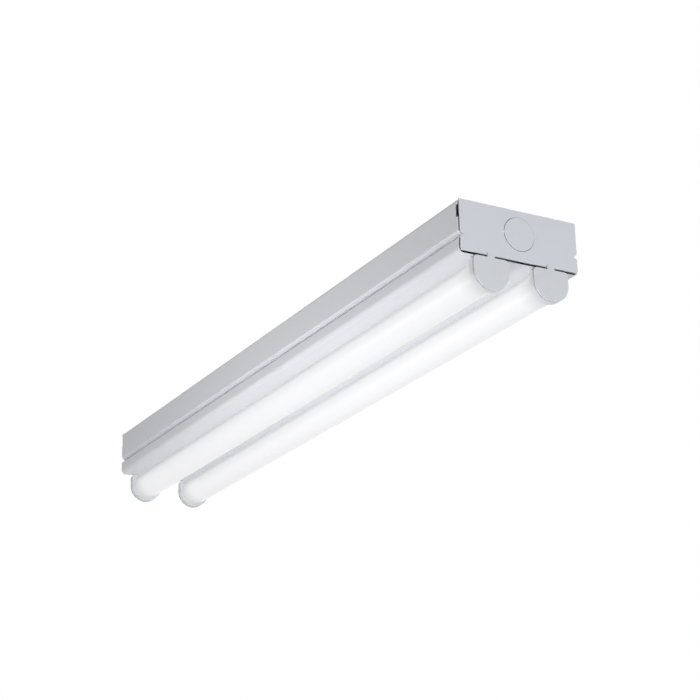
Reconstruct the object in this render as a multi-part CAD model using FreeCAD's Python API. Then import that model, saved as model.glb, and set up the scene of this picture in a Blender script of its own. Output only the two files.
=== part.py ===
import FreeCAD, Part
import math
import os

# Two-lamp ceiling strip light, drawn in millimetres.
# +Z is up and z = 0 is the face against the ceiling; the light hangs below it.
# X runs along the light, Y across it, and the origin is the middle of the ceiling face.
# "front" is the +X end, "back" the -X end, "left" the -Y side and "right" the +Y side.

# Housing: a steel channel against the ceiling, closed below by a snap-on gear tray
body_length = 610.0
body_width = 100.0
body_height = 40.5
channel_sheet = 0.7
tray_sheet = 0.6
top_bend = 3.0
tray_bend = 4.0
sheet_gap = 0.1

# V groove along both sides, where the tray's edge nests over the channel's wall
tray_wall = 11.0
groove_lower = 2.0
groove_upper = 2.5
groove_depth = 4.0
groove_bend = 1.0
apex_bend = 0.6
tray_lip_share = 0.45
lip_gap = 0.2
lip_overlap = 3.5

# End plates, each with a flange that laps over the channel's back
plate_sheet = 0.9
plate_standoff = 0.7
plate_side_inset = 0.95
plate_bottom_rise = 1.7
plate_corner = 1.6
plate_groove_depth = 2.7
flange_length = 14.0
flange_side_inset = 3.5
flange_bend = 1.0
notch_top = 4.0
notch_bottom = 13.7
notch_length = 2.2
joggle_ramp = 1.2

# Knockouts: discs held by two ties in a thin cut ring
end_knockout_radius = 12.9
end_knockout_drop = 18.3
end_knockout_proud = 0.3
back_knockout_radius = 11.1
back_knockout_places_share = (-0.09, 0.18)
knockout_cut = 0.4
knockout_tie = 2.4
tie_rib_length = 5.0
tie_rib_width = 0.8
tie_rib_height = 0.2

# Ceiling fixing holes, supply entry and ground screw in the channel's back
fixing_inset = 102.0
fixing_spacing_y = 60.0
fixing_hole_radius = 3.5
entry_inset = 135.0
entry_hole_radius = 11.1
bushing_bore_radius = 8.0
bushing_flange_radius = 13.0
bushing_flange_height = 1.5
bushing_play = 0.05
ground_screw_inset = 90.0
ground_screw_y = 14.0

# Screws
screw_radius = 1.6
screw_head_radius = 3.2
screw_head_height = 1.8
screw_play = 0.05
clear_hole_radius = 1.9
slot_width = 0.9
slot_depth = 0.9
flange_screw_inset = 7.0
flange_screw_y = 30.0

# Lens tubes, one under each side of the tray
lens_spacing = 50.0
lens_radius = 12.3
lens_wall = 1.2
lens_drop = 9.9
lens_end_inset = 2.0
foot_half_width = 7.5
foot_thickness = 1.2
rail_thickness = 0.8
rail_reach = 0.6
rail_play = 0.1

# Lens end caps
cap_radius = 14.45
cap_corner = 3.0
cap_front = 1.0
cap_face_thickness = 1.1
cap_crevice_width = 1.0
cap_crevice_depth = 1.2
cap_rim_length = 4.0
cap_play = 0.15
cap_top_gap = 0.1
cap_edge_round = 0.3
cap_floor = 2.4
tab_width = 6.0
tab_thickness = 0.9
tab_lap = 1.5
tab_gap = 0.05

# LED boards with their chips
board_width = 10.0
board_thickness = 1.0
board_end_inset = 6.0
chip_length = 3.5
chip_width = 2.8
chip_height = 0.7
chip_pitch = 12.0
board_rivet_places_share = (-0.42, -0.14, 0.14, 0.42)
board_rivet_radius = 1.3
board_rivet_head_radius = 2.6
board_rivet_head_height = 1.0
rivet_play = 0.05

# LED driver on the tray
driver_length = 240.0
driver_width = 32.0
driver_height = 22.0
driver_sheet = 0.8
driver_gap = 47.0
driver_tab_length = 11.0
driver_tab_width = 18.0
driver_board_rise = 4.0
driver_board_thickness = 1.6
driver_board_margin = 3.0
driver_post_radius = 2.0
driver_post_inset = 8.0
driver_bushing_radius = 4.0
driver_bushing_length = 5.0
driver_bushing_drop = 8.0
lid_lip_height = 4.0
lid_play = 0.15

# Parts on the driver's board: share of the board's length, share of its width, length, width, height
part_places_share = ((-0.40, 0.0), (-0.26, 0.18), (-0.04, 0.0), (0.30, 0.15))
choke_size = (14.0, 12.0, 11.0)
rectifier_size = (9.0, 5.0, 8.0)
transformer_size = (24.0, 20.0, 13.5)
switch_size = (10.0, 5.0, 12.0)
capacitor_radius = 5.0
capacitor_height = 12.5
capacitor_places_share = (0.14, 0.43)

# Terminal block on the tray
terminal_length = 26.0
terminal_width = 27.0
terminal_height = 14.0
terminal_gap = 29.0
terminal_pitch = 8.0
terminal_port_radius = 1.9
terminal_port_depth = 9.0
terminal_port_rise = 8.0
terminal_edge = 0.8
terminal_foot_length = 8.0
terminal_foot_width = 12.0
terminal_foot_height = 2.0

# Leads inside the tray
lead_radius = 0.9
lead_bend = 6.0
lead_pitch = 4.4
output_pair_pitch = 2.4
drop_pair_pitch = 1.9
lead_drop_gap = 42.0
lead_bow = 5.0
lead_reach = 10.0
port_insert = 7.0

# Grommets where the output leads pass through the tray
grommet_bore_radius = 1.95
grommet_waist_radius = 3.2
grommet_flange_radius = 4.6
grommet_flange_height = 1.2

# Ring terminal and screw that ground the tray
tray_ground_inset = 12.0
ring_outer_radius = 3.6
ring_thickness = 0.8
ring_barrel_length = 6.0
ring_barrel_radius = 1.5

# Spring clips that hold the tray in the channel
clip_inset = 120.0
clip_width = 16.0
clip_sheet = 0.5
clip_base = 8.0
clip_rise = 8.5
clip_lead_in = 2.0
clip_gap = 0.1
clip_bend = 1.2
clip_rivet_radius = 1.2
clip_rivet_head_radius = 2.2
clip_rivet_head_height = 0.8

overrun = 1.0

os.makedirs("parts", exist_ok=True)

# Places worked out from the sizes above
half_length = body_length / 2
half_width = body_width / 2
half_lens_spacing = lens_spacing / 2
plate_inner = half_length - plate_sheet
sheet_end = plate_inner - plate_standoff
tray_floor = -body_height + tray_sheet
groove_end = body_height - tray_wall
groove_apex = groove_end - groove_lower
groove_start = groove_apex - groove_upper
lip_outer = half_width - groove_depth - tray_sheet - lip_gap
lip_bottom = -groove_end - lip_overlap
lens_axis = -body_height - lens_drop
lens_end = half_length - lens_end_inset
board_top = -body_height - foot_thickness
board_bottom = board_top - board_thickness
board_end = lens_end - board_end_inset
groove_slope = groove_upper / groove_depth
nest_shift = (tray_sheet + sheet_gap) * math.hypot(1, groove_slope)
cap_face = half_length + cap_front
cap_top = -body_height - cap_top_gap

# The gear follows on from the supply entry: entry, terminal block, driver, output leads
fixing_place = half_length - fixing_inset
entry_place = entry_inset - half_length
ground_screw_x = ground_screw_inset - half_length
clip_place = half_length - clip_inset
terminal_back = entry_place + terminal_gap
terminal_front = terminal_back + terminal_length
tray_ground_x = terminal_front + lead_reach
tray_ground_y = half_width - tray_ground_inset
driver_back = terminal_front + driver_gap
driver_front = driver_back + driver_length
driver_centre = (driver_back + driver_front) / 2
lead_drop_x = driver_front + lead_drop_gap


def point(x, y, z):
    return FreeCAD.Vector(x, y, z)


def block(x0, x1, y0, y1, z0, z1):
    """A box between two corners."""
    return Part.makeBox(x1 - x0, y1 - y0, z1 - z0, point(x0, y0, z0))


def post(radius, x, y, z0, z1):
    """An upright round rod from height z0 to height z1."""
    return Part.makeCylinder(radius, z1 - z0, point(x, y, z0))


def rod_x(radius, x0, x1, y, z):
    """A round rod along X."""
    return Part.makeCylinder(radius, x1 - x0, point(x0, y, z), point(1, 0, 0))


def turned_x(shape):
    """The same shape at the other end of the light."""
    return shape.mirror(point(0, 0, 0), point(1, 0, 0))


def turned_y(shape):
    """The same shape at the other side of the light."""
    return shape.mirror(point(0, 0, 0), point(0, 1, 0))


def joined(shapes):
    """One solid from touching or overlapping shapes."""
    return shapes[0].fuse(shapes[1:]).removeSplitter()


def save(name, solids):
    """Write one sub-part; a list of separate solids shares one file."""
    shape = Part.makeCompound(solids) if isinstance(solids, list) else solids
    shape.exportStep("parts/" + name + ".step")
    print(name, "solids", len(shape.Solids), "volume", round(shape.Volume, 1))


# Bent sheet: a section drawn as its outer line, with a bend radius at each corner
def unit(a, b):
    span = b.sub(a)
    return span.multiply(1 / span.Length)


def offset_line(points, shift):
    """The line moved sideways by shift, to the left of its run in the YZ plane."""
    moved = []
    for i, corner in enumerate(points):
        ahead = unit(points[i], points[i + 1]) if i + 1 < len(points) else None
        behind = unit(points[i - 1], points[i]) if i else None
        a = behind or ahead
        b = ahead or behind
        normal_a = point(0, -a.z, a.y)
        normal_b = point(0, -b.z, b.y)
        share = 1 / (1 + normal_a.dot(normal_b))
        moved.append(corner.add(normal_a.add(normal_b).multiply(share * shift)))
    return moved


def bent_edges(points, radii):
    """Straight runs joined by tangent arcs; radii belong to the inner corners."""
    edges = []
    start = points[0]
    for i in range(1, len(points) - 1):
        into = unit(points[i - 1], points[i])
        away = unit(points[i], points[i + 1])
        turn = into.getAngle(away)
        reach = radii[i - 1] * math.tan(turn / 2)
        first = points[i].sub(into.multiply(reach))
        last = points[i].add(away.multiply(reach))
        middle = unit(points[i], first.add(last).multiply(0.5))
        depth = radii[i - 1] / math.cos(turn / 2) - radii[i - 1]
        edges.append(Part.LineSegment(start, first).toShape())
        edges.append(Part.Arc(first, points[i].add(middle.multiply(depth)), last).toShape())
        start = last
    edges.append(Part.LineSegment(start, points[-1]).toShape())
    return edges


def bent_sheet(points, radii, thickness, x0, x1):
    """Sheet whose outer line is given, with its thickness to the left of the run."""
    inner_radii = []
    for i in range(1, len(points) - 1):
        into = unit(points[i - 1], points[i])
        away = unit(points[i], points[i + 1])
        left_turn = into.y * away.z - into.z * away.y > 0
        inner_radii.append(radii[i - 1] + (-thickness if left_turn else thickness))
    inner = offset_line(points, thickness)
    edges = bent_edges(points, radii)
    edges.append(Part.LineSegment(points[-1], inner[-1]).toShape())
    edges += bent_edges(inner[::-1], inner_radii[::-1])
    edges.append(Part.LineSegment(inner[0], points[0]).toShape())
    section = Part.Face(Part.Wire(Part.__sortEdges__(edges)))
    return section.translated(point(x0, 0, 0)).extrude(point(x1 - x0, 0, 0))


def ring_cut(disc, core, ties):
    """The thin cut round a knockout, broken by its ties."""
    return disc.cut([core, ties])


def pan_screw(x, y, seat, up, length):
    """A slotted pan-head screw whose head rests on seat; up is 1 when the head is on top."""
    head = post(screw_head_radius, x, y, 0, screw_head_height)
    head = head.makeFillet(screw_head_height / 3, [head.Edges[0]])
    slot = block(x - screw_head_radius, x + screw_head_radius, y - slot_width / 2, y + slot_width / 2,
                 screw_head_height - slot_depth, screw_head_height + overrun)
    screw = head.cut(slot).fuse(post(screw_radius, x, y, -length, 0)).removeSplitter()
    if up < 0:
        screw = screw.mirror(point(0, 0, 0), point(0, 0, 1))
    return screw.translated(point(0, 0, seat))


# Housing channel
def channel_line():
    """Outer line of the channel's section, from the right lip over the back to the left lip."""
    wall_foot = -groove_start + nest_shift
    lip_head = wall_foot - (half_width - lip_outer) * groove_slope
    right = [point(0, lip_outer, lip_bottom), point(0, lip_outer, lip_head),
             point(0, half_width, wall_foot), point(0, half_width, 0)]
    left = [point(0, -p.y, p.z) for p in right[::-1]]
    return right + left


def flange_seat():
    """The channel's back is pressed down here, so that the end plate's flange lies flush."""
    seat_y = half_width - flange_side_inset + sheet_gap
    seat_x = half_length - flange_length - sheet_gap
    seat_z = -plate_sheet
    recess = block(seat_x, half_length, -seat_y, seat_y, seat_z, overrun)
    tongue = block(seat_x - joggle_ramp, sheet_end, -seat_y, seat_y, seat_z - channel_sheet, seat_z)
    ramp = block(seat_x - joggle_ramp, seat_x, -seat_y, seat_y, seat_z - channel_sheet, 0)
    return recess, joined([tongue, ramp])


def make_housing_channel():
    radii = [apex_bend, groove_bend, top_bend, top_bend, groove_bend, apex_bend]
    channel = bent_sheet(channel_line(), radii, channel_sheet, -sheet_end, sheet_end)
    recess, tongue = flange_seat()
    for end in (recess, turned_x(recess)):
        channel = channel.cut(end)
    channel = joined([channel, tongue, turned_x(tongue)])
    notch = block(sheet_end - notch_length, half_length, -half_width - overrun,
                  half_width + overrun, -notch_bottom, -notch_top)
    cuts = [notch, turned_x(notch)]
    back_cut = -channel_sheet - overrun
    for x in (-fixing_place, fixing_place):
        for y in (-fixing_spacing_y / 2, fixing_spacing_y / 2):
            cuts.append(post(fixing_hole_radius, x, y, back_cut, overrun))
    cuts.append(post(entry_hole_radius, entry_place, 0, back_cut, overrun))
    cuts.append(post(screw_radius + screw_play, ground_screw_x, ground_screw_y, back_cut, overrun))
    for share in back_knockout_places_share:
        x = share * body_length
        reach = back_knockout_radius + overrun
        ties = block(x - reach, x + reach, -knockout_tie / 2, knockout_tie / 2, back_cut, overrun)
        cuts.append(ring_cut(post(back_knockout_radius, x, 0, back_cut, overrun),
                             post(back_knockout_radius - knockout_cut, x, 0, back_cut, overrun), ties))
    for x in (-1, 1):
        for y in (-flange_screw_y, flange_screw_y):
            cuts.append(post(clear_hole_radius, x * (half_length - flange_screw_inset), y,
                             -plate_sheet - channel_sheet - overrun, overrun))
    return channel.cut(cuts)


# End plates
def plate_outline():
    """Right half of the end plate's outline, from the top down, as points."""
    edge = half_width - plate_side_inset
    bottom = -body_height + plate_bottom_rise
    return [(0, 0), (edge, 0), (edge, -groove_start + nest_shift),
            (edge - plate_groove_depth, -groove_apex + nest_shift), (edge, -groove_end + nest_shift),
            (edge, bottom + plate_corner), (edge - plate_corner, bottom), (0, bottom)]


def make_end_plate():
    right = [point(plate_inner, y, z) for y, z in plate_outline()]
    left = [point(plate_inner, -y, z) for y, z in plate_outline()[::-1]]
    corners = right + left[1:-1]
    sheet = Part.Face(Part.makePolygon(corners + corners[:1])).extrude(point(plate_sheet, 0, 0))
    edge = half_width - plate_side_inset
    bottom = -body_height + plate_bottom_rise
    rounding = [rod_x(plate_corner, plate_inner, half_length, side * (edge - plate_corner),
                      bottom + plate_corner) for side in (-1, 1)]
    flange_y = half_width - flange_side_inset
    flange = block(half_length - flange_length, half_length, -flange_y, flange_y, -plate_sheet, 0)
    plate = joined([sheet] + rounding + [flange])
    bend = [e for e in plate.Edges if e.Length > flange_y and abs(e.BoundBox.XMin - half_length) < sheet_gap
            and abs(e.BoundBox.ZMin) < sheet_gap and e.BoundBox.XLength < sheet_gap]
    plate = plate.makeFillet(flange_bend / 2, bend)
    low = plate_inner - overrun
    high = half_length + overrun
    reach = end_knockout_radius + overrun
    plate = plate.cut(ring_cut(
        rod_x(end_knockout_radius, low, high, 0, -end_knockout_drop),
        rod_x(end_knockout_radius - knockout_cut, low, high, 0, -end_knockout_drop),
        block(low, high, -reach, reach, -end_knockout_drop - knockout_tie / 2,
              -end_knockout_drop + knockout_tie / 2)))
    disc = rod_x(end_knockout_radius - knockout_cut, half_length - overrun / 2,
                 half_length + end_knockout_proud, 0, -end_knockout_drop)
    ribs = []
    for side in (-1, 1):
        middle = side * end_knockout_radius
        ribs.append(block(half_length - tie_rib_height, half_length + tie_rib_height,
                          middle - tie_rib_length / 2, middle + tie_rib_length / 2,
                          -end_knockout_drop - tie_rib_width / 2, -end_knockout_drop + tie_rib_width / 2))
    plate = joined([plate, disc] + ribs)
    for y in (-flange_screw_y, flange_screw_y):
        plate = plate.cut(post(screw_radius + screw_play, half_length - flange_screw_inset, y,
                               -plate_sheet - overrun, overrun))
    return plate


def make_end_plate_screws():
    seat = -plate_sheet - channel_sheet
    grip = plate_sheet + channel_sheet
    screws = []
    for x in (-1, 1):
        for y in (-flange_screw_y, flange_screw_y):
            screws.append(pan_screw(x * (half_length - flange_screw_inset), y, seat, -1, grip))
    return screws


def make_ground_screw():
    return pan_screw(ground_screw_x, ground_screw_y, -channel_sheet, -1, channel_sheet)


def make_entry_bushing():
    foot = -channel_sheet - bushing_flange_height
    barrel = post(entry_hole_radius - bushing_play, entry_place, 0, -channel_sheet, 0)
    flange = post(bushing_flange_radius, entry_place, 0, foot, -channel_sheet)
    bore = post(bushing_bore_radius, entry_place, 0, foot - overrun, overrun)
    return joined([barrel, flange]).cut(bore)


# Gear tray
def tray_line():
    """Outer line of the tray's section, from the left lip under the lamp to the right lip."""
    apex_y = half_width - groove_depth
    lip_y = apex_y + groove_depth * tray_lip_share
    lip_z = -groove_apex + (groove_apex - groove_start) * tray_lip_share
    left = [point(0, -lip_y, lip_z), point(0, -apex_y, -groove_apex),
            point(0, -half_width, -groove_end), point(0, -half_width, -body_height)]
    right = [point(0, -p.y, p.z) for p in left[::-1]]
    return left + right


def board_rivet_xs():
    return [share * 2 * board_end for share in board_rivet_places_share]


def make_gear_tray():
    radii = [apex_bend, groove_bend, tray_bend, tray_bend, groove_bend, apex_bend]
    tray = bent_sheet(tray_line(), radii, tray_sheet, -sheet_end, sheet_end)
    low = -body_height - overrun
    high = tray_floor + overrun
    cuts = []
    for y in (-half_lens_spacing, half_lens_spacing):
        cuts.append(post(grommet_waist_radius, lead_drop_x, y, low, high))
        for x in board_rivet_xs():
            cuts.append(post(board_rivet_radius + rivet_play, x, y, low, high))
    for x in driver_tab_xs():
        cuts.append(post(screw_radius + screw_play, x, 0, low, high))
    cuts.append(post(screw_radius + screw_play, terminal_screw_x(), 0, low, high))
    cuts.append(post(screw_radius + screw_play, tray_ground_x, tray_ground_y, low, high))
    for x in (-clip_place, clip_place):
        for y in (-clip_rivet_y(), clip_rivet_y()):
            cuts.append(post(clip_rivet_radius + rivet_play, x, y, low, high))
    return tray.cut(cuts)


# Spring clips: each grips the inner face of the channel's lip
def clip_face():
    return lip_outer - channel_sheet - clip_gap


def clip_rivet_y():
    return clip_face() - clip_base / 2


def make_tray_clips():
    face = clip_face()
    line = [point(0, face - clip_base, tray_floor), point(0, face, tray_floor),
            point(0, face, tray_floor + clip_rise),
            point(0, face - clip_lead_in, tray_floor + clip_rise + clip_lead_in)]
    clips = []
    for x in (-clip_place, clip_place):
        clip = bent_sheet(line, [clip_bend, clip_bend], clip_sheet, x - clip_width / 2, x + clip_width / 2)
        clip = clip.cut(post(clip_rivet_radius + rivet_play, x, clip_rivet_y(),
                             tray_floor - overrun, tray_floor + overrun))
        clips += [clip, turned_y(clip)]
    return clips


def flat_rivet(x, y, radius, head_radius, head_height, seat, length):
    head = post(head_radius, x, y, seat, seat + head_height)
    head = head.makeFillet(head_height / 2, [head.Edges[0]])
    return joined([head, post(radius, x, y, seat - length, seat)])


def make_clip_rivets():
    rivets = []
    for x in (-clip_place, clip_place):
        for y in (-clip_rivet_y(), clip_rivet_y()):
            rivets.append(flat_rivet(x, y, clip_rivet_radius, clip_rivet_head_radius, clip_rivet_head_height,
                                     tray_floor + clip_sheet, clip_sheet + tray_sheet))
    return rivets


# Lens tubes
def lens_section(radius, foot_width, top, foot, x0, x1, y):
    """Round bar with a flat foot under the tray."""
    bar = rod_x(radius, x0, x1, y, lens_axis)
    above = block(x0 - overrun, x1 + overrun, y - radius, y + radius, top, lens_axis + radius + overrun)
    bar = bar.cut(above)
    return joined([bar, block(x0, x1, y - foot_width, y + foot_width, top - foot, top)])


def make_lens(y):
    tube = lens_section(lens_radius, foot_half_width, -body_height, foot_thickness, -lens_end, lens_end, y)
    hollow = rod_x(lens_radius - lens_wall, -half_length, half_length, y, lens_axis)
    hollow = hollow.cut(block(-half_length, half_length, y - lens_radius, y + lens_radius, board_top, 0))
    rail_top = board_bottom - rail_play
    for side in (-1, 1):
        inner = y + side * (board_width / 2 - rail_reach)
        outer = y + side * lens_radius
        hollow = hollow.cut(block(-half_length, half_length, min(inner, outer), max(inner, outer),
                                  rail_top - rail_thickness, rail_top))
    tube = tube.cut(hollow)
    for x in board_rivet_xs():
        tube = tube.cut(post(board_rivet_radius + rivet_play, x, y, board_top - overrun, overrun))
    return tube.cut(post(grommet_bore_radius, lead_drop_x, y, board_top - overrun / 2, overrun))


def make_led_board(y):
    board = block(-board_end, board_end, y - board_width / 2, y + board_width / 2, board_bottom, board_top)
    holes = [post(board_rivet_radius + rivet_play, x, y, board_bottom - overrun, board_top + overrun)
             for x in board_rivet_xs()]
    return board.cut(holes)


def make_led_chips(y):
    count = int(2 * (board_end - chip_length) / chip_pitch)
    first = -(count - 1) * chip_pitch / 2
    chips = []
    for i in range(count):
        x = first + i * chip_pitch
        if min(abs(x - r) for r in board_rivet_xs()) > board_rivet_head_radius + chip_length:
            chips.append(block(x - chip_length / 2, x + chip_length / 2, y - chip_width / 2,
                               y + chip_width / 2, board_bottom - chip_height, board_bottom))
    return chips


def make_board_rivets():
    grip = tray_sheet + foot_thickness + board_thickness
    rivets = []
    for y in (-half_lens_spacing, half_lens_spacing):
        for x in board_rivet_xs():
            rivet = flat_rivet(x, y, board_rivet_radius, board_rivet_head_radius, board_rivet_head_height,
                               tray_floor, grip)
            foot = post(board_rivet_head_radius - board_rivet_radius / 2, x, y,
                        board_bottom - board_rivet_head_height, board_bottom)
            rivets.append(joined([rivet, foot]))
    return rivets


# Lens end caps
def cap_section(inset, x0, x1, y):
    """Upright sides, a round bottom and softened top corners, drawn in from the cap's outline."""
    reach = cap_radius - inset
    top = cap_top
    round_top = max(cap_corner - inset, cap_edge_round)
    body = rod_x(reach, x0, x1, y, lens_axis)
    upper = block(x0, x1, y - reach, y + reach, lens_axis, top)
    tops = [e for e in upper.Edges if e.BoundBox.ZLength < sheet_gap and e.BoundBox.YLength < sheet_gap
            and abs(e.BoundBox.ZMax - top) < sheet_gap]
    upper = upper.makeFillet(round_top, tops)
    above = block(x0 - overrun, x1 + overrun, y - reach, y + reach, lens_axis, lens_axis + reach + overrun)
    return joined([body.cut(above), upper])


def make_lens_cap(y):
    face_back = cap_face - cap_face_thickness
    crevice_back = face_back - cap_crevice_width
    rim_back = crevice_back - cap_rim_length
    face = cap_section(0, face_back, cap_face, y)
    front_edges = [e for e in face.Edges if abs(e.BoundBox.XMin - cap_face) < sheet_gap
                   and e.BoundBox.XLength < sheet_gap and e.BoundBox.ZMin < cap_top - cap_corner / 2]
    face = face.makeFillet(cap_edge_round, front_edges)
    neck = cap_section(cap_crevice_depth, crevice_back, face_back, y)
    rim = cap_section(0, rim_back, crevice_back, y)
    tab = block(half_length + tab_gap, half_length + tab_gap + tab_thickness, y - tab_width / 2,
                y + tab_width / 2, cap_top - tab_lap, -body_height + plate_bottom_rise + tab_lap)
    pocket = lens_section(lens_radius + cap_play, foot_half_width + cap_play, cap_top + overrun,
                          foot_thickness + cap_play + cap_top_gap + overrun,
                          rim_back - overrun, cap_face - cap_floor, y)
    return joined([face, neck, rim]).cut(pocket).fuse(tab).removeSplitter()


# LED driver
def driver_x(side):
    return driver_front if side > 0 else driver_back


def driver_tab_xs():
    return [driver_x(side) + side * driver_tab_length / 2 for side in (-1, 1)]


def make_driver_base():
    top = tray_floor + driver_height - driver_sheet
    half = driver_width / 2
    shell = block(driver_x(-1), driver_x(1), -half, half, tray_floor, top)
    hollow = block(driver_x(-1) + driver_sheet, driver_x(1) - driver_sheet, -half + driver_sheet,
                   half - driver_sheet, tray_floor + driver_sheet, top + overrun)
    shapes = [shell.cut(hollow)]
    for side in (-1, 1):
        inner = driver_x(side)
        outer = inner + side * driver_tab_length
        shapes.append(block(min(inner, outer), max(inner, outer), -driver_tab_width / 2,
                            driver_tab_width / 2, tray_floor, tray_floor + driver_sheet))
        for y in (-1, 1):
            shapes.append(post(driver_post_radius, inner - side * driver_post_inset,
                               y * (half - driver_post_inset), tray_floor + driver_sheet,
                               tray_floor + driver_board_rise))
    base = joined(shapes)
    for side, x in zip((-1, 1), driver_tab_xs()):
        base = base.cut(post(screw_radius + screw_play, x, 0, tray_floor - overrun, top))
        wall = driver_x(side)
        base = base.cut(rod_x(driver_bushing_radius, wall - driver_sheet - overrun,
                              wall + driver_sheet + overrun, 0, top - driver_bushing_drop))
    return base


def make_driver_lid():
    top = tray_floor + driver_height
    half = driver_width / 2
    lid = block(driver_x(-1), driver_x(1), -half, half, top - driver_sheet, top)
    rim = half - driver_sheet - lid_play
    shapes = [lid]
    for side in (-1, 1):
        edge = side * rim
        inner = edge - side * driver_sheet
        shapes.append(block(driver_x(-1) + driver_post_inset, driver_x(1) - driver_post_inset,
                            min(edge, inner), max(edge, inner), top - driver_sheet - lid_lip_height,
                            top - driver_sheet))
    return joined(shapes)


def driver_board_size():
    margin = driver_sheet + driver_board_margin / 2
    return driver_length - margin * 2, driver_width - margin * 2


def make_driver_board():
    length, width = driver_board_size()
    bottom = tray_floor + driver_board_rise
    return block(driver_centre - length / 2, driver_centre + length / 2, -width / 2, width / 2,
                 bottom, bottom + driver_board_thickness)


def make_driver_components():
    length, width = driver_board_size()
    seat = tray_floor + driver_board_rise + driver_board_thickness
    parts = []
    sizes = (choke_size, rectifier_size, transformer_size, switch_size)
    for (along, across), (dx, dy, dz) in zip(part_places_share, sizes):
        x = driver_centre + along * length
        y = across * width
        part = block(x - dx / 2, x + dx / 2, y - dy / 2, y + dy / 2, seat, seat + dz)
        parts.append(part.makeFillet(terminal_edge, part.Edges))
    for along in capacitor_places_share:
        can = post(capacitor_radius, driver_centre + along * length, 0, seat, seat + capacitor_height)
        parts.append(can.makeFillet(terminal_edge, [can.Edges[0]]))
    return parts


def make_driver_screws():
    grip = driver_sheet + tray_sheet
    return [pan_screw(x, 0, tray_floor + driver_sheet, 1, grip) for x in driver_tab_xs()]


def lead_height():
    return tray_floor + driver_height - driver_sheet - driver_bushing_drop


def make_driver_bushings():
    bushings = []
    for side in (-1, 1):
        wall = driver_x(side)
        outer = wall + side * (driver_bushing_length - driver_sheet)
        inner = wall - side * driver_sheet
        low, high = sorted((inner, outer))
        barrel = rod_x(driver_bushing_radius - bushing_play, low, high, 0, lead_height())
        lip_low, lip_high = sorted((wall, wall + side * driver_bushing_length / 3))
        lip = rod_x(driver_bushing_radius + driver_sheet, lip_low, lip_high, 0, lead_height())
        bushing = joined([barrel, lip])
        for y, z in output_lead_places() if side > 0 else input_lead_places():
            bushing = bushing.cut(rod_x(lead_radius, low - overrun, high + overrun, y, z))
        bushings.append(bushing)
    return bushings


# Terminal block for the supply
def terminal_screw_x():
    return terminal_back - terminal_foot_length / 2


def terminal_port_height():
    return tray_floor + terminal_port_rise


def make_terminal_block():
    half = terminal_width / 2
    body = block(terminal_back, terminal_front, -half, half, tray_floor, tray_floor + terminal_height)
    body = body.makeFillet(terminal_edge, [e for e in body.Edges if e.BoundBox.ZMax > tray_floor + overrun])
    foot_half = terminal_foot_width / 2
    foot = block(terminal_back - terminal_foot_length, terminal_back + terminal_edge * 2, -foot_half,
                 foot_half, tray_floor, tray_floor + terminal_foot_height)
    body = joined([body, foot])
    cuts = [post(screw_radius + screw_play, terminal_screw_x(), 0, tray_floor - overrun, 0)]
    for i in (-1, 0, 1):
        y = i * terminal_pitch
        cuts.append(rod_x(terminal_port_radius, terminal_back - overrun, terminal_back + terminal_port_depth,
                          y, terminal_port_height()))
        cuts.append(rod_x(lead_radius, terminal_front - port_insert, terminal_front + overrun, y,
                          terminal_port_height()))
    return body.cut(cuts)


def make_terminal_screw():
    return pan_screw(terminal_screw_x(), 0, tray_floor + terminal_foot_height, 1,
                     terminal_foot_height + tray_sheet)


# Leads: straight runs joined by tangent arcs, swept by a round section
def lead(points, bend):
    path = Part.Wire(bent_edges(points, [bend] * (len(points) - 2)))
    circle = Part.Wire(Part.makeCircle(lead_radius, points[0], unit(points[0], points[1])))
    return path.makePipeShell([circle], True, True)


def input_lead_places():
    return [(side * lead_pitch / 2, lead_height()) for side in (-1, 1)]


def output_lead_places():
    return [(side * output_pair_pitch, lead_height() + level * output_pair_pitch / 2)
            for side in (-1, 1) for level in (-1, 1)]


def make_input_lead(driver_y, port_y):
    """From the terminal block's port to the driver's bushing."""
    start = terminal_front - port_insert
    end = driver_x(-1) + driver_sheet
    side = lead_bow if port_y > driver_y else -lead_bow
    return lead([point(start, port_y, terminal_port_height()),
                 point(start + port_insert + lead_reach, port_y, terminal_port_height()),
                 point((start + end) / 2 + lead_reach, driver_y + side, lead_height()),
                 point(end - lead_reach - driver_bushing_length, driver_y, lead_height()),
                 point(end, driver_y, lead_height())], lead_bend)


def make_ground_lead():
    """From the middle port to the ring terminal on the tray."""
    start = terminal_front - port_insert
    height = terminal_port_height()
    ring_z = tray_floor + ring_thickness + ring_barrel_radius
    mouth = tray_ground_y - ring_outer_radius - ring_barrel_length
    return lead([point(start, terminal_pitch, height),
                 point(tray_ground_x, terminal_pitch, height),
                 point(tray_ground_x, mouth - lead_radius * 2, ring_z),
                 point(tray_ground_x, mouth + ring_barrel_length - lead_radius, ring_z)], lead_radius * 3)


def make_ring_terminal():
    ring = post(ring_outer_radius, tray_ground_x, tray_ground_y, tray_floor, tray_floor + ring_thickness)
    ring_z = tray_floor + ring_thickness + ring_barrel_radius
    mouth = point(tray_ground_x, tray_ground_y - ring_outer_radius - ring_barrel_length, ring_z)
    along = point(0, 1, 0)
    barrel = Part.makeCylinder(ring_barrel_radius, ring_barrel_length, mouth, along)
    strap = block(tray_ground_x - ring_barrel_radius, tray_ground_x + ring_barrel_radius,
                  mouth.y, tray_ground_y, tray_floor, tray_floor + ring_thickness)
    web = block(tray_ground_x - ring_barrel_radius / 2, tray_ground_x + ring_barrel_radius / 2,
                mouth.y, mouth.y + ring_barrel_length, tray_floor, ring_z - lead_radius)
    bore = Part.makeCylinder(lead_radius, ring_barrel_length, mouth, along)
    hole = post(screw_radius + screw_play, tray_ground_x, tray_ground_y, tray_floor - overrun, 0)
    return joined([ring, strap, web, barrel]).cut([bore, hole])


def make_tray_ground_screw():
    return pan_screw(tray_ground_x, tray_ground_y, tray_floor + ring_thickness, 1,
                     ring_thickness + tray_sheet)


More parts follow.
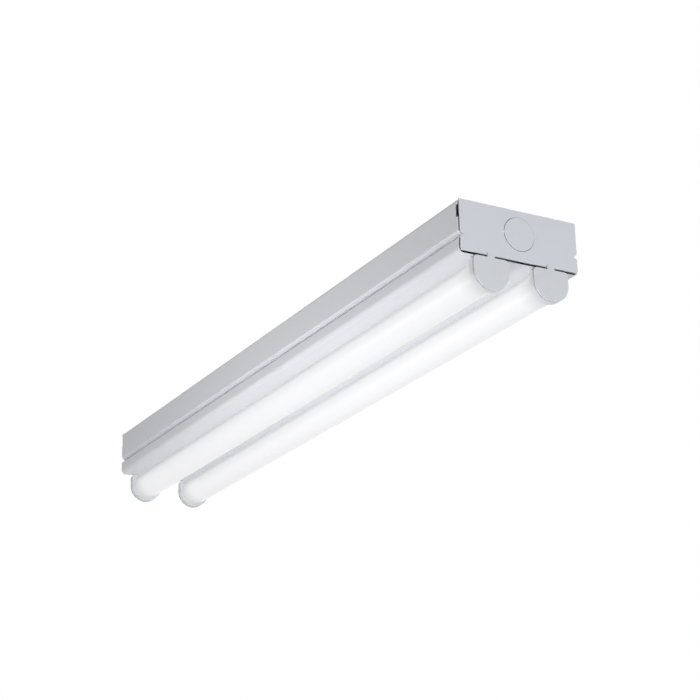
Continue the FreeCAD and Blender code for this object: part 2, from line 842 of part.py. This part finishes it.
def make_output_leads(which):
    """One lead to each lens: out of the driver, across, and down through the grommet to the board."""
    leads = []
    for side in (-1, 1):
        start_y = side * output_pair_pitch
        drop_x = lead_drop_x + which * drop_pair_pitch / 2
        height = lead_height() + which * output_pair_pitch / 2
        leads.append(lead([point(driver_x(1) - driver_sheet, start_y, height),
                           point(driver_x(1) + driver_bushing_length + lead_bend, start_y, height),
                           point(drop_x, side * half_lens_spacing, height),
                           point(drop_x, side * half_lens_spacing, board_top)], lead_bend))
    return leads


def make_grommets():
    grommets = []
    for y in (-half_lens_spacing, half_lens_spacing):
        waist = post(grommet_waist_radius - bushing_play, lead_drop_x, y, -body_height, tray_floor)
        flange = post(grommet_flange_radius, lead_drop_x, y, tray_floor, tray_floor + grommet_flange_height)
        flange = flange.makeFillet(grommet_flange_height / 2, [flange.Edges[0]])
        bore = post(grommet_bore_radius, lead_drop_x, y, -body_height - overrun, 0)
        grommets.append(joined([waist, flange]).cut(bore))
    return grommets


end_plate = make_end_plate()
save("housing_channel", make_housing_channel())
save("end_plate_front", end_plate)
save("end_plate_back", turned_x(end_plate))
save("end_plate_screws", make_end_plate_screws())
save("ground_screw", make_ground_screw())
save("entry_bushing", make_entry_bushing())
save("gear_tray", make_gear_tray())
save("tray_clips", make_tray_clips())
save("clip_rivets", make_clip_rivets())
for side_name, side in (("left", -1), ("right", 1)):
    lens_y = side * half_lens_spacing
    save("lens_" + side_name, make_lens(lens_y))
    save("led_board_" + side_name, make_led_board(lens_y))
    save("led_chips_" + side_name, make_led_chips(lens_y))
    cap = make_lens_cap(lens_y)
    save("lens_cap_front_" + side_name, cap)
    save("lens_cap_back_" + side_name, turned_x(cap))
save("board_rivets", make_board_rivets())
save("driver_base", make_driver_base())
save("driver_lid", make_driver_lid())
save("driver_board", make_driver_board())
save("driver_components", make_driver_components())
save("driver_screws", make_driver_screws())
save("driver_bushings", make_driver_bushings())
save("terminal_block", make_terminal_block())
save("terminal_screw", make_terminal_screw())
save("lead_line", make_input_lead(-lead_pitch / 2, -terminal_pitch))
save("lead_neutral", make_input_lead(lead_pitch / 2, 0))
save("lead_ground", make_ground_lead())
save("ring_terminal", make_ring_terminal())
save("tray_ground_screw", make_tray_ground_screw())
save("leads_plus", make_output_leads(1))
save("leads_minus", make_output_leads(-1))
save("grommets", make_grommets())
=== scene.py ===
# %% [markdown]
# A two-lamp ceiling strip light, seen from below and from one end.
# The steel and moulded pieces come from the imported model, and this file gives each its finish.
# A finish here is a small network of nodes, so it stays sharp at any distance and needs no pictures.

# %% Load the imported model
import math

import bpy
from mathutils import Matrix, Vector

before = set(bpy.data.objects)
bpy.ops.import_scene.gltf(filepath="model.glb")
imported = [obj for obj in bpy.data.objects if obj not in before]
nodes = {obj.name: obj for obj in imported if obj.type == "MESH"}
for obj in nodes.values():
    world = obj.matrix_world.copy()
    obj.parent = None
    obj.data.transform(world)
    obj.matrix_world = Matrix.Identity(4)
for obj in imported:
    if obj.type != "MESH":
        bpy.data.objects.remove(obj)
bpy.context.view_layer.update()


def in_mm(lengths):
    """Lengths in metres, as rounded millimetres for printing."""
    return [round(1000 * length, 1) for length in lengths]


# %% [markdown]
# ## Camera
# The photograph was taken from below and from beyond the near end, with a fairly long lens.
# A camera can be set by eye, but here a fit of the light's corners gave its place and turn.
# A longer lens further off would flatten the strong taper of the body, so both are kept as fitted.

# %% Camera
camera_place = Vector((1.2638, -0.6776, -0.5250))
azimuth = math.radians(60.629)
elevation = math.radians(-19.915)
roll = math.radians(-1.141)
focal_pixels = 1810.6
picture_pixels = 700
sensor_width = 36.0

camera_data = bpy.data.cameras.new("camera")
camera_data.sensor_width = sensor_width
camera_data.lens = sensor_width * (focal_pixels / picture_pixels)
camera = bpy.data.objects.new("camera", camera_data)
bpy.context.scene.collection.objects.link(camera)
back = Vector((math.sin(azimuth) * math.cos(elevation),
               -math.cos(azimuth) * math.cos(elevation),
               math.sin(elevation)))
turn = (-back).to_track_quat("-Z", "Y").to_matrix().to_4x4()
camera.matrix_world = Matrix.Translation(camera_place) @ turn @ Matrix.Rotation(roll, 4, "Z")
bpy.context.scene.camera = camera
print("lens in mm", round(camera_data.lens, 2), "distance in m", round(camera_place.length, 3))

# %% [markdown]
# ## Starting and giving a finish
# Each finish starts from one Principled shader, which can be paint, plastic, metal or glass.
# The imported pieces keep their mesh, so a finish is put in their material slots.

# %% Start a finish
def start_finish(name):
    """A material with its shader, and object coordinates to place patterns by."""
    finish = bpy.data.materials.new(name)
    finish.use_nodes = True
    tree = finish.node_tree
    shader = tree.nodes["Principled BSDF"]
    place = tree.nodes.new("ShaderNodeTexCoord").outputs["Object"]
    return finish, tree, shader, place


def wear(names, finish):
    """Gives a finish to CAD nodes."""
    for name in names:
        for slot in nodes[name].material_slots:
            slot.material = finish
    print(finish.name, "on", len(names), "nodes")


print("pieces that need a finish", sum(1 for name in nodes if nodes[name].material_slots))

# %% [markdown]
# ## Patterns
# Colour, roughness and bump come from noise that is placed by object coordinates, in metres,
# so a grain of half a millimetre is half a millimetre on every piece. A picture would have one
# size and repeat.
# Most of the noise's values lie between 0.3 and 0.7, so that is the range that is spread out.

# %% Noise, and what is made from it
noise_low = 0.3
noise_high = 0.7
all_ways = (1.0, 1.0, 1.0)


def noise(tree, place, size, detail=2.0, stretch=all_ways):
    """Cloudy noise with lumps of about the given size in metres."""
    mapping = tree.nodes.new("ShaderNodeMapping")
    mapping.inputs["Scale"].default_value = stretch
    tree.links.new(place, mapping.inputs["Vector"])
    texture = tree.nodes.new("ShaderNodeTexNoise")
    texture.inputs["Scale"].default_value = 1.0 / size
    texture.inputs["Detail"].default_value = detail
    tree.links.new(mapping.outputs["Vector"], texture.inputs["Vector"])
    return texture.outputs["Fac"]


def between(tree, factor, low, high):
    """Turns noise into a steady run between two values."""
    spread = tree.nodes.new("ShaderNodeMapRange")
    spread.inputs["From Min"].default_value = noise_low
    spread.inputs["From Max"].default_value = noise_high
    spread.inputs["To Min"].default_value = low
    spread.inputs["To Max"].default_value = high
    tree.links.new(factor, spread.inputs["Value"])
    return spread.outputs["Result"]


def tint(tree, factor, one, other, start=noise_low, end=noise_high):
    """Colour that goes from one tone to the other as the factor goes from start to end."""
    ramp = tree.nodes.new("ShaderNodeValToRGB")
    ramp.color_ramp.elements[0].position = start
    ramp.color_ramp.elements[1].position = end
    ramp.color_ramp.elements[0].color = (*one, 1.0)
    ramp.color_ramp.elements[1].color = (*other, 1.0)
    tree.links.new(factor, ramp.inputs["Fac"])
    return ramp.outputs["Color"]


def bump(tree, shader, height, depth, strength):
    """Raises the surface by the height pattern, depth in metres."""
    node = tree.nodes.new("ShaderNodeBump")
    node.inputs["Distance"].default_value = depth
    node.inputs["Strength"].default_value = strength
    tree.links.new(height, node.inputs["Height"])
    tree.links.new(node.outputs["Normal"], shader.inputs["Normal"])


def shade(colour, amount):
    """The same colour, darker where amount is below 1."""
    return tuple(channel * amount for channel in colour)


def drift_finish(tree, shader, pattern, colour, tone, roughness, dulling):
    """Darkens the colour where the pattern is low, and adds the dulling where it is high."""
    tree.links.new(tint(tree, pattern, shade(colour, tone), colour), shader.inputs["Base Color"])
    tree.links.new(between(tree, pattern, roughness, roughness + dulling), shader.inputs["Roughness"])


print("noise is spread from", noise_low, "to", noise_high)

# %% [markdown]
# ## White baked enamel
# The channel, tray and end plates are sheet steel with a powder coat that is melted on in an oven.
# The melt leaves a very shallow orange-peel ripple, which blurs what the paint reflects.
# The ripple is far too fine to model in the mesh, so a bump of two-millimetre noise gives it, and
# a broad, faint noise varies tone and gloss as a sprayed coat does.

# %% Enamel
enamel_white = (0.80, 0.81, 0.84)
driver_white = (0.74, 0.74, 0.75)
spray_patch = 0.05
spray_tone = 0.985
spray_dulling = 0.08
ripple_size = 0.0022
ripple_depth = 0.00002
ripple_strength = 0.5
enamel_shine = 0.3


def make_enamel(name, colour, roughness):
    """Powder coat: tone and gloss drift a little, and a ripple lies all over."""
    finish, tree, shader, place = start_finish(name)
    drift = noise(tree, place, spray_patch)
    drift_finish(tree, shader, drift, colour, spray_tone, roughness, spray_dulling)
    ripple = noise(tree, place, ripple_size, detail=1.0)
    bump(tree, shader, ripple, ripple_depth, ripple_strength)
    shader.inputs["Specular IOR Level"].default_value = enamel_shine
    return finish


wear(["housing_channel", "gear_tray", "end_plate_front", "end_plate_back", "clip_rivets"],
     make_enamel("enamel", enamel_white, roughness=0.38))
wear(["driver_base", "driver_lid"], make_enamel("driver_case", driver_white, roughness=0.45))

# %% [markdown]
# ## Milky lens
# Each lens is an extruded acrylic tube, filled so that it hides the rows of chips behind it.
# Both tubes glow gently and evenly. A small emission on the tube gives this: it is partly the chips'
# low light, and partly painted light that evens out the tube's shading.
# The glow is dimmed over the last few centimetres at each end, which is painted shade at the ends.
# It is dimmed towards the tube's foot, which lies behind the board; that is painted shade there too.
# At a slant the glow has more milky plastic to pass, so the edges of the tube look darker. A thin
# coat that absorbs a little does the same: with a low index, slanting light stays longer in it.
# The die that the tube was pressed through leaves very faint lines along it.
# The fade depends on place, so its nodes do arithmetic with the coordinates: a Math node takes one
# step, and Separate XYZ gives the three coordinates.

# %% Arithmetic in nodes
def math_node(tree, operation, first, second=None):
    """One step of arithmetic; either side may be a number or another node's result."""
    node = tree.nodes.new("ShaderNodeMath")
    node.operation = operation
    for side, value in enumerate((first, second)):
        if isinstance(value, float):
            node.inputs[side].default_value = value
        elif value is not None:
            tree.links.new(value, node.inputs[side])
    return node.outputs["Value"]


def split_place(tree, place):
    """The three coordinates of a place, one output each."""
    split = tree.nodes.new("ShaderNodeSeparateXYZ")
    tree.links.new(place, split.inputs["Vector"])
    return split.outputs["X"], split.outputs["Y"], split.outputs["Z"]


def run_share(tree, distance, start, end):
    """Runs softly from 0 to 1 as the distance goes from start to end."""
    run = tree.nodes.new("ShaderNodeMapRange")
    run.interpolation_type = "SMOOTHSTEP"
    run.inputs["From Min"].default_value = start
    run.inputs["From Max"].default_value = end
    tree.links.new(distance, run.inputs["Value"])
    return run.outputs["Result"]


# %% Where the lens glows
# Painted shade: where the glow is dimmed, near the tube's ends and along its foot beside the web.
end_painted_shade_start = 0.277
end_painted_shade_end = 0.303
foot_painted_shade_start = -0.0490
foot_painted_shade_end = -0.0430


def painted_shade_fade(tree, place):
    """Painted shade on the glow: 1 at the tube's ends and at its foot, and 0 between."""
    length, _, height = split_place(tree, place)
    along = run_share(tree, math_node(tree, "ABSOLUTE", length), end_painted_shade_start, end_painted_shade_end)
    up = run_share(tree, height, foot_painted_shade_start, foot_painted_shade_end)
    return math_node(tree, "MAXIMUM", along, up)


print("glow fades over the last", in_mm([end_painted_shade_end - end_painted_shade_start])[0], "mm")

# %% Lens
# The base is a mid grey, not the acrylic's milky white, so the emission sets the tube's brightness and
# the lamps shade it little.
lens_white = (0.45, 0.45, 0.45)
lens_roughness = 0.28
lens_shine = 0.2
die_line_size = 0.0012
die_line_tone = 0.99
die_line_dulling = 0.02
along_tube = (0.01, 1.0, 1.0)
glow_white = (0.99, 0.99, 1.0)
glow_strength = 0.95
painted_shade_dim = 0.7
coat_tint = (0.76, 0.76, 0.762)
coat_roughness = 0.18
coat_index = 1.2

lens, tree, shader, place = start_finish("lens")
lines = noise(tree, place, die_line_size, stretch=along_tube)
drift_finish(tree, shader, lines, lens_white, die_line_tone, lens_roughness, die_line_dulling)
# Painted shade: the glow colour darkens towards the tube's ends and its foot.
glow = tint(tree, painted_shade_fade(tree, place), glow_white, shade(glow_white, painted_shade_dim), start=0.0, end=1.0)
tree.links.new(glow, shader.inputs["Emission Color"])
# The emission is partly the chips' low light and partly painted light that evens out the tube's shading.
shader.inputs["Emission Strength"].default_value = glow_strength
shader.inputs["Specular IOR Level"].default_value = lens_shine
shader.inputs["Coat Weight"].default_value = 1.0
shader.inputs["Coat Roughness"].default_value = coat_roughness
shader.inputs["Coat IOR"].default_value = coat_index
shader.inputs["Coat Tint"].default_value = (*coat_tint, 1.0)
wear(["lens_left", "lens_right"], lens)

# %% [markdown]
# ## Moulded plastic
# End caps, bushings, grommets and the terminal block are injection moulded.
# The mould's spark-eroded face prints a fine, even grain, much finer than paint's ripple. It is a
# bump too, and a wider noise gives the slight drift where the melt flowed and cooled.

# %% Moulded plastics
flow_patch = 0.012
flow_tone = 0.97
flow_dulling = 0.07
mould_grain = 0.0004
mould_depth = 0.00001
mould_strength = 0.4
plastic_index = 1.47


def make_plastic(name, colour, roughness, grain=mould_grain, depth=mould_depth):
    """Moulded plastic: tone and gloss drift a little, under a fine grain."""
    finish, tree, shader, place = start_finish(name)
    drift = noise(tree, place, flow_patch)
    drift_finish(tree, shader, drift, colour, flow_tone, roughness, flow_dulling)
    bump(tree, shader, noise(tree, place, grain, detail=1.0), depth, mould_strength)
    shader.inputs["IOR"].default_value = plastic_index
    return finish


cap_nodes = [name for name in nodes if name.startswith("lens_cap")]
wear(cap_nodes, make_plastic("cap", (0.79, 0.795, 0.815), roughness=0.34))
wear(["entry_bushing", "driver_bushings", "grommets"],
     make_plastic("black_plastic", (0.025, 0.025, 0.027), roughness=0.42))
wear(["terminal_block"], make_plastic("terminal", (0.78, 0.76, 0.70), roughness=0.40))
wear(["board_rivets"], make_plastic("rivet", (0.80, 0.79, 0.76), roughness=0.36))
wear(["driver_components"], make_plastic("component", (0.07, 0.07, 0.08), roughness=0.35))

# %% [markdown]
# ## Leads
# Each lead is stranded copper under a thin, glossy coat that shows the lay of the strands a little.
# Modelled strands would hardly show through it, so the plastic's grain is only made coarser here.
# The colours tell the leads apart: black, white and green for the supply, red and blue for the boards.

# %% Leads
lead_roughness = 0.28
strand_grain = 0.0009
strand_depth = 0.00002
lead_colours = {
    "lead_line": (0.02, 0.02, 0.022),
    "lead_neutral": (0.78, 0.77, 0.74),
    "lead_ground": (0.03, 0.26, 0.08),
    "leads_plus": (0.52, 0.025, 0.02),
    "leads_minus": (0.02, 0.08, 0.42),
}
for name, colour in lead_colours.items():
    wear([name], make_plastic(name, colour, lead_roughness, strand_grain, strand_depth))

# %% [markdown]
# ## Plated and bare metal
# Screws are zinc plated or dyed green, the ring terminal is tinned, and the clips are spring steel.
# Fine scratches make metal look handled. Cutting them into the mesh would take millions of faces,
# so one noise drives tone, gloss and bump together.
# Rolling draws the scratches along the clips' strip, so there the noise is stretched one way.

# %% Metals
scratch_size = 0.0005
scratch_detail = 3.0
scratch_tone = 0.82
scratch_dulling = 0.15
scratch_depth = 0.00001
scratch_strength = 0.3
along_strip = (0.05, 1.0, 1.0)


def make_metal(name, colour, roughness, stretch=all_ways):
    """Bare metal: fine scratches vary its tone, gloss and height together."""
    finish, tree, shader, place = start_finish(name)
    scratches = noise(tree, place, scratch_size, scratch_detail, stretch)
    drift_finish(tree, shader, scratches, colour, scratch_tone, roughness, scratch_dulling)
    bump(tree, shader, scratches, scratch_depth, scratch_strength)
    shader.inputs["Metallic"].default_value = 1.0
    return finish


wear(["end_plate_screws", "driver_screws", "terminal_screw"],
     make_metal("zinc", (0.66, 0.67, 0.66), roughness=0.28))
wear(["ground_screw", "tray_ground_screw"],
     make_metal("green_screw", (0.05, 0.33, 0.12), roughness=0.32))
wear(["tray_clips"],
     make_metal("spring_steel", (0.55, 0.56, 0.58), roughness=0.25, stretch=along_strip))
wear(["ring_terminal"], make_metal("tinned", (0.72, 0.70, 0.66), roughness=0.30))

# %% [markdown]
# ## LED boards and chips
# The LED boards are aluminium under white solder resist, with two copper tracks that show through
# it a little. Each chip is a yellow phosphor window in a white frame.
# Tracks and windows are drawn by measuring, for every point, how far it lies from the board's
# middle line and from the nearest chip's centre. A picture could hold them too, but would have to
# be lined up by hand, and this way they stay in step with the chips.

# %% Distances on a board
board_offset = 0.025
chip_pitch = 0.012


def board_distances(tree, place):
    """Distance to the nearest chip's centre along the board, and to the board's middle line."""
    length, width, _ = split_place(tree, place)
    step = math_node(tree, "FRACT", math_node(tree, "DIVIDE", length, chip_pitch))
    off_centre = math_node(tree, "ABSOLUTE", math_node(tree, "SUBTRACT", step, 0.5))
    along = math_node(tree, "MULTIPLY", off_centre, chip_pitch)
    sideways = math_node(tree, "ABSOLUTE", width)
    across = math_node(tree, "ABSOLUTE", math_node(tree, "SUBTRACT", sideways, board_offset))
    return along, across


print("chips every", in_mm([chip_pitch])[0], "mm")

# %% LED boards
resist_white = (0.80, 0.80, 0.79)
track_white = (0.72, 0.71, 0.68)
track_centre = 0.0032
track_half = 0.0006
track_edge = 0.9
resist_patch = 0.004
resist_roughness = (0.38, 0.46)

led_board, tree, shader, place = start_finish("led_board")
off_middle = board_distances(tree, place)[1]
off_track = math_node(tree, "ABSOLUTE", math_node(tree, "SUBTRACT", off_middle, track_centre))
track = math_node(tree, "DIVIDE", off_track, track_half)
resist = tint(tree, track, track_white, resist_white, start=track_edge, end=1.0)
tree.links.new(resist, shader.inputs["Base Color"])
drift = noise(tree, place, resist_patch)
tree.links.new(between(tree, drift, *resist_roughness), shader.inputs["Roughness"])
wear(["led_board_left", "led_board_right"], led_board)

# %% LED chips
phosphor_yellow = (0.82, 0.60, 0.08)
frame_white = (0.84, 0.84, 0.82)
window_half_length = 0.00125
window_half_width = 0.00090
window_edge = 0.93
phosphor_grain = 0.0003
phosphor_roughness = (0.26, 0.38)
phosphor_depth = 0.00001
phosphor_strength = 0.4

led_chip, tree, shader, place = start_finish("led_chip")
along, across = board_distances(tree, place)
window = math_node(tree, "MAXIMUM", math_node(tree, "DIVIDE", along, window_half_length),
                   math_node(tree, "DIVIDE", across, window_half_width))
face = tint(tree, window, phosphor_yellow, frame_white, start=window_edge, end=1.0)
tree.links.new(face, shader.inputs["Base Color"])
grain = noise(tree, place, phosphor_grain)
tree.links.new(between(tree, grain, *phosphor_roughness), shader.inputs["Roughness"])
bump(tree, shader, grain, phosphor_depth, phosphor_strength)
wear(["led_chips_left", "led_chips_right"], led_chip)

# %% [markdown]
# ## Driver's board
# The driver's board is woven glass fibre in green resin. Only the weave's size shows at this scale,
# so it is the moulded finish with a coarser and deeper grain.

# %% Driver's board
board_green = (0.03, 0.16, 0.05)
board_roughness = 0.38
weave_grain = 0.0012
weave_depth = 0.00003
wear(["driver_board"],
     make_plastic("circuit_board", board_green, board_roughness, weave_grain, weave_depth))

# %% [markdown]
# ## Room
# The picture behind the light is plain white. A bright room would give that, but would also wash
# out the enamel. So the world is white only to the camera and in reflections, and what it sheds on
# the object stays a soft grey.

# %% Room
room_tone = (0.98, 0.99, 1.0)
room_level = 0.25
plain_white = (1.0, 1.0, 1.0)
seen_level = 1.0


def seen_share(tree):
    """1 where the camera looks, straight or through gloss or glass, and 0 for the light it sheds."""
    path = tree.nodes.new("ShaderNodeLightPath")
    straight = math_node(tree, "MAXIMUM", path.outputs["Is Camera Ray"], path.outputs["Is Glossy Ray"])
    return math_node(tree, "MAXIMUM", straight, path.outputs["Is Transmission Ray"])


def background(tree, colour, level):
    """A background of one colour and strength."""
    node = tree.nodes.new("ShaderNodeBackground")
    node.inputs["Color"].default_value = (*colour, 1.0)
    node.inputs["Strength"].default_value = level
    return node.outputs["Background"]


world = bpy.data.worlds.new("room")
bpy.context.scene.world = world
world.use_nodes = True
tree = world.node_tree
tree.nodes.clear()
mix = tree.nodes.new("ShaderNodeMixShader")
tree.links.new(seen_share(tree), mix.inputs["Fac"])
tree.links.new(background(tree, room_tone, room_level), mix.inputs[1])
tree.links.new(background(tree, plain_white, seen_level), mix.inputs[2])
output = tree.nodes.new("ShaderNodeOutputWorld")
tree.links.new(mix.outputs["Shader"], output.inputs["Surface"])
print("room sheds", room_level, "and shows", seen_level)

# %% [markdown]
# ## Lamps
# Soft studio light could come from one large lamp, but the photograph's light falls off along the
# side and differs from face to face, so each face has a lamp that can be set by itself.
# A small lamp stands close to the middle of the left side and well below it. It makes side and
# underside brightest at their middle, and reaches into the groove, which shows as a light strip in
# the photograph. Two lamps beyond the near end light the end plate and the cap faces, and one from
# below fills the underside. A tall one far to the left shows only as a long gleam on the tubes.
# The last two light only what the photograph doesn't show, the back and the far end, so that the
# enamel looks white from there too.

# %% Lamps
near_underside = (0.2, 0.0, -0.04)
day_white = (0.93, 0.96, 1.0)


def softbox(name, place, target, size, power, colour=plain_white, matt_share=1.0):
    """A flat lamp that faces the target; matt_share is how much of it lights matt surfaces."""
    lamp = bpy.data.lights.new(name, "AREA")
    lamp.shape = "RECTANGLE"
    lamp.size, lamp.size_y = size
    lamp.energy = power
    lamp.color = colour
    lamp.diffuse_factor = matt_share
    holder = bpy.data.objects.new(name, lamp)
    bpy.context.scene.collection.objects.link(holder)
    holder.location = place
    holder.rotation_euler = (Vector(target) - Vector(place)).to_track_quat("-Z", "Y").to_euler()
    print(name, "power in W", power)


softbox("side", (0.06, -0.36, -0.37), target=(0.06, -0.05, -0.03), size=(0.15, 0.15), power=1.09)
softbox("front", (1.3, -0.36, -0.44), target=near_underside, size=(0.5, 0.5), power=3.6,
        colour=day_white)
softbox("front_fill", (1.2, 0.15, -0.3), target=near_underside, size=(0.5, 0.5), power=2.7,
        colour=day_white)
softbox("below", (0.0, -0.15, -0.9), target=(0.0, 0.0, -0.04), size=(0.5, 0.5), power=0.75)
softbox("gleam", (-2.19, -1.84, -0.6), target=(0.2, 0.0, -0.05), size=(0.35, 1.3), power=4.8,
        matt_share=0.04)
softbox("above", (-0.3, 1.3, 1.5), target=(0.0, 0.0, 0.0), size=(1.5, 1.5), power=24.0)
softbox("far_end", (-1.5, 0.1, 0.1), target=(-0.3, 0.0, -0.03), size=(0.6, 0.6), power=2.8)

# %% [markdown]
# ## Floor
# The light hangs at a ceiling, so the floor is a room's height below it, out of the picture.
# It is pale and plain, and throws a little light back up. A brighter floor would light the object
# too much, so a glow that only the camera and reflections see lifts it to the room's white, and
# the light's faint shadow stays.

# %% Floor
floor_drop = 2.6
floor_half = 14.0
floor_patch = 0.4
floor_tones = (0.86, 0.86, 0.86), (0.90, 0.90, 0.90)
floor_roughness = 0.7
floor_glow = 0.7

floor_mesh = bpy.data.meshes.new("floor")
corners = [(x * floor_half, y * floor_half, -floor_drop) for x, y in ((-1, -1), (1, -1), (1, 1), (-1, 1))]
floor_mesh.from_pydata(corners, [], [(0, 1, 2, 3)])
floor = bpy.data.objects.new("floor", floor_mesh)
bpy.context.scene.collection.objects.link(floor)
floor_paint, tree, shader, place = start_finish("floor_paint")
tree.links.new(tint(tree, noise(tree, place, floor_patch), *floor_tones), shader.inputs["Base Color"])
shader.inputs["Roughness"].default_value = floor_roughness
shader.inputs["Emission Color"].default_value = (*plain_white, 1.0)
glow_seen = math_node(tree, "MULTIPLY", seen_share(tree), floor_glow)
tree.links.new(glow_seen, shader.inputs["Emission Strength"])
floor_mesh.materials.append(floor_paint)
print("floor at m", -floor_drop)

# %% [markdown]
# ## Colour
# The Standard view shows a colour about as it is written.

# %% Colour
bpy.context.scene.view_settings.view_transform = "Standard"
